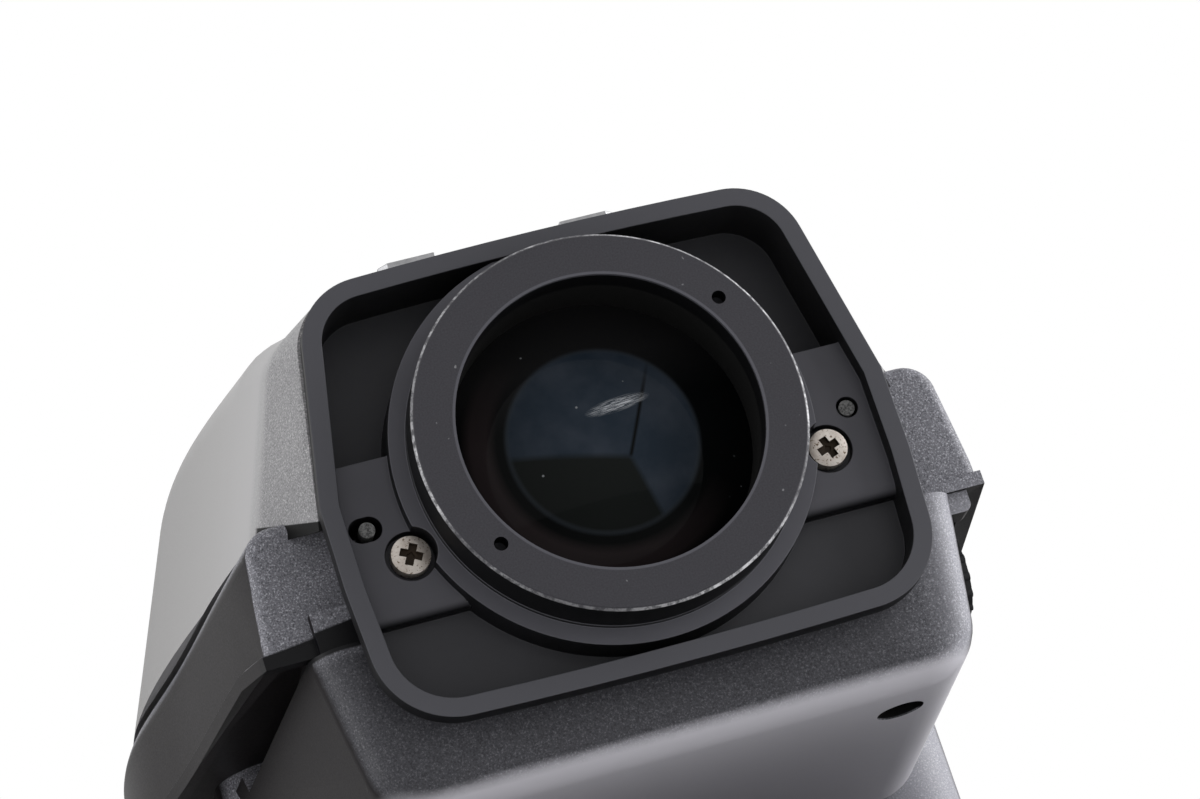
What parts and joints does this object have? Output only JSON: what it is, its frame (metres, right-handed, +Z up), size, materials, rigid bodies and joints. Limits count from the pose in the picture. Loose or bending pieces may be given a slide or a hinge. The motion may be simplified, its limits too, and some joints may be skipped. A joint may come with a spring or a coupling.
{
  "type": "medium format digital camera",
  "caption": "Medium format digital camera with a prism finder, side grip, digital back and open bayonet lens mount; the finder's eyepiece has no eyecup.",
  "frame": {"origin": "mouth of the tripod thread on the base", "axes": "-Y towards the subject along the lens axis, +Y towards the user, +Z up; the grip is on the -X side"},
  "size_m": [0.1576, 0.1336, 0.1537],
  "materials": {
    "finder_paint": "dark grey speckled paint, satin",
    "cover_paint": "light grey speckled paint, satin",
    "eyepiece_plastic": "black moulded plastic",
    "ring_black": "black anodised, fine matte",
    "body_paint": "dark grey speckled paint, satin",
    "body_black": "black moulded plastic",
    "inner_black": "flat black inner parts",
    "grip_rubber": "black grained rubber",
    "optical_glass": "coated glass",
    "display_cover": "glossy display window",
    "nickel": "nickel plated",
    "steel": "satin steel",
    "gold": "gold plated contacts",
    "mirror_silver": "front silvered glass",
    "blade_metal": "black coated alloy blades",
    "sensor_face": "image sensor face",
    "board": "circuit board",
    "battery_plastic": "battery case"
  },
  "bodies": {
    "camera": {"back_housing": "body_paint", "back_rear_panel": "body_black", "base_plate": "body_black", "base_screws": "steel", "battery": "battery_plastic", "body_shell": "body_paint", "display_glass": "display_cover", "eye_lens": "optical_glass", "eyepiece_frame": "eyepiece_plastic", "eyepiece_ring": "ring_black", "eyepiece_tube": "inner_black", "finder_cover": "cover_paint", "finder_housing": "finder_paint", "focusing_screen": "optical_glass", "frame_screws": "nickel", "grip_rubber": "grip_rubber", "grip_shell": "body_paint", "hot_shoe": "steel", "housing_screws": "steel", "image_sensor": "sensor_face", "lens_contacts": "gold", "lens_mount": "steel", "memory_card": "battery_plastic", "mirror_box": "inner_black", "mirror_pin": "steel", "mount_screws": "nickel", "pentaprism": "optical_glass", "prism_seat": "inner_black", "sensor_board": "board", "sensor_glass": "optical_glass", "shoe_contacts": "gold", "shutter_frame": "inner_black", "strap_lugs": "steel", "sync_cap": "body_black", "top_display": "display_cover", "tripod_bush": "steel"},
    "mirror": {"mirror_frame": "inner_black", "mirror_glass": "mirror_silver"},
    "lens_release": {"lens_release_button": "body_black"},
    "lens_lock": {"lens_lock_pin": "steel"},
    "preview": {"preview_button": "body_black"},
    "dioptre": {"dioptre_knob": "body_black"},
    "dioptre_lens": {"dioptre_cell": "inner_black", "field_lens": "optical_glass"},
    "battery_lid": {"battery_door": "body_black"},
    "power": {"power_collar": "body_black"},
    "shutter_release": {"shutter_button": "steel"},
    "front_wheel": {"front_dial": "body_black"},
    "rear_wheel": {"rear_dial": "body_black"},
    "mode": {"mode_button": "body_black"},
    "card_lid": {"card_door": "body_black"},
    "latch": {"back_latch": "body_black"},
    "blade_1": {"shutter_blade_1": "blade_metal"},
    "key_1": {"back_key_1": "grip_rubber"},
    "blade_2": {"shutter_blade_2": "blade_metal"},
    "key_2": {"back_key_2": "grip_rubber"},
    "blade_3": {"shutter_blade_3": "blade_metal"},
    "key_3": {"back_key_3": "grip_rubber"},
    "blade_4": {"shutter_blade_4": "blade_metal"},
    "key_4": {"back_key_4": "grip_rubber"}
  },
  "joints": [
    {"name": "mirror_swing", "type": "hinge", "parent": "camera", "child": "mirror", "pos_m": [0, 0.0034, 0.072], "axis": [-1, 0, 0], "range_deg": [0, 45]},
    {"name": "lens_release_press", "type": "slide", "parent": "camera", "child": "lens_release", "axis": [0, 1, 0], "range_m": [0, 0.002], "stiffness_N_per_m": 300},
    {"name": "lens_lock_slide", "type": "slide", "parent": "camera", "child": "lens_lock", "axis": [0, 1, 0], "range_m": [0, 0.0016]},
    {"name": "preview_press", "type": "slide", "parent": "camera", "child": "preview", "axis": [0, 1, 0], "range_m": [0, 0.0012], "stiffness_N_per_m": 300},
    {"name": "dioptre_turn", "type": "hinge", "parent": "camera", "child": "dioptre", "pos_m": [-0.0306, 0.05, 0.11], "axis": [1, 0, 0], "range_deg": [-120, 120]},
    {"name": "dioptre_shift", "type": "slide", "parent": "camera", "child": "dioptre_lens", "axis": [0, 1, 0], "range_m": [-0.002, 0.002]},
    {"name": "battery_lid_swing", "type": "hinge", "parent": "camera", "child": "battery_lid", "pos_m": [-0.0718, 0.0024, 0.003], "axis": [1, 0, 0], "range_deg": [0, 95]},
    {"name": "power_turn", "type": "hinge", "parent": "camera", "child": "power", "pos_m": [-0.07, -0.043, 0.0885], "axis": [0, 0, 1], "range_deg": [0, 50]},
    {"name": "shutter_press", "type": "slide", "parent": "camera", "child": "shutter_release", "axis": [0, 0, -1], "range_m": [0, 0.0012], "stiffness_N_per_m": 300},
    {"name": "front_wheel_turn", "type": "hinge", "parent": "camera", "child": "front_wheel", "pos_m": [-0.07, -0.0536, 0.0755], "axis": [1, 0, 0], "continuous": true},
    {"name": "rear_wheel_turn", "type": "hinge", "parent": "camera", "child": "rear_wheel", "pos_m": [-0.072, 0.0046, 0.0755], "axis": [0, 0, 1], "continuous": true},
    {"name": "mode_press", "type": "slide", "parent": "camera", "child": "mode", "axis": [0, 0, -1], "range_m": [0, 0.0008], "stiffness_N_per_m": 300},
    {"name": "card_lid_swing", "type": "hinge", "parent": "camera", "child": "card_lid", "pos_m": [0.0452, 0.023, 0.042], "axis": [0, 0, -1], "range_deg": [0, 100]},
    {"name": "latch_slide", "type": "slide", "parent": "camera", "child": "latch", "axis": [1, 0, 0], "range_m": [0, 0.005]},
    {"name": "blade_1_drop", "type": "slide", "parent": "camera", "child": "blade_1", "axis": [0, 0, -1], "range_m": [0, 0.0488]},
    {"name": "key_1_press", "type": "slide", "parent": "camera", "child": "key_1", "axis": [0, -1, 0], "range_m": [0, 0.0004], "stiffness_N_per_m": 300},
    {"name": "blade_2_drop", "type": "slide", "parent": "camera", "child": "blade_2", "axis": [0, 0, -1], "range_m": [0, 0.0376]},
    {"name": "key_2_press", "type": "slide", "parent": "camera", "child": "key_2", "axis": [0, -1, 0], "range_m": [0, 0.0004], "stiffness_N_per_m": 300},
    {"name": "blade_3_drop", "type": "slide", "parent": "camera", "child": "blade_3", "axis": [0, 0, -1], "range_m": [0, 0.0264]},
    {"name": "key_3_press", "type": "slide", "parent": "camera", "child": "key_3", "axis": [0, -1, 0], "range_m": [0, 0.0004], "stiffness_N_per_m": 300},
    {"name": "blade_4_drop", "type": "slide", "parent": "camera", "child": "blade_4", "axis": [0, 0, -1], "range_m": [0, 0.0152]},
    {"name": "key_4_press", "type": "slide", "parent": "camera", "child": "key_4", "axis": [0, -1, 0], "range_m": [0, 0.0004], "stiffness_N_per_m": 300}
  ],
  "couplings": [
    {"joint": "lens_lock_slide", "follows": "lens_release_press", "ratio": 0.8},
    {"joint": "dioptre_turn", "follows": "dioptre_shift", "rad_per_m": 1047},
    {"joint": "blade_2_drop", "follows": "blade_1_drop", "ratio": 0.7704},
    {"joint": "blade_3_drop", "follows": "blade_1_drop", "ratio": 0.5409},
    {"joint": "blade_4_drop", "follows": "blade_1_drop", "ratio": 0.3114}
  ]
}
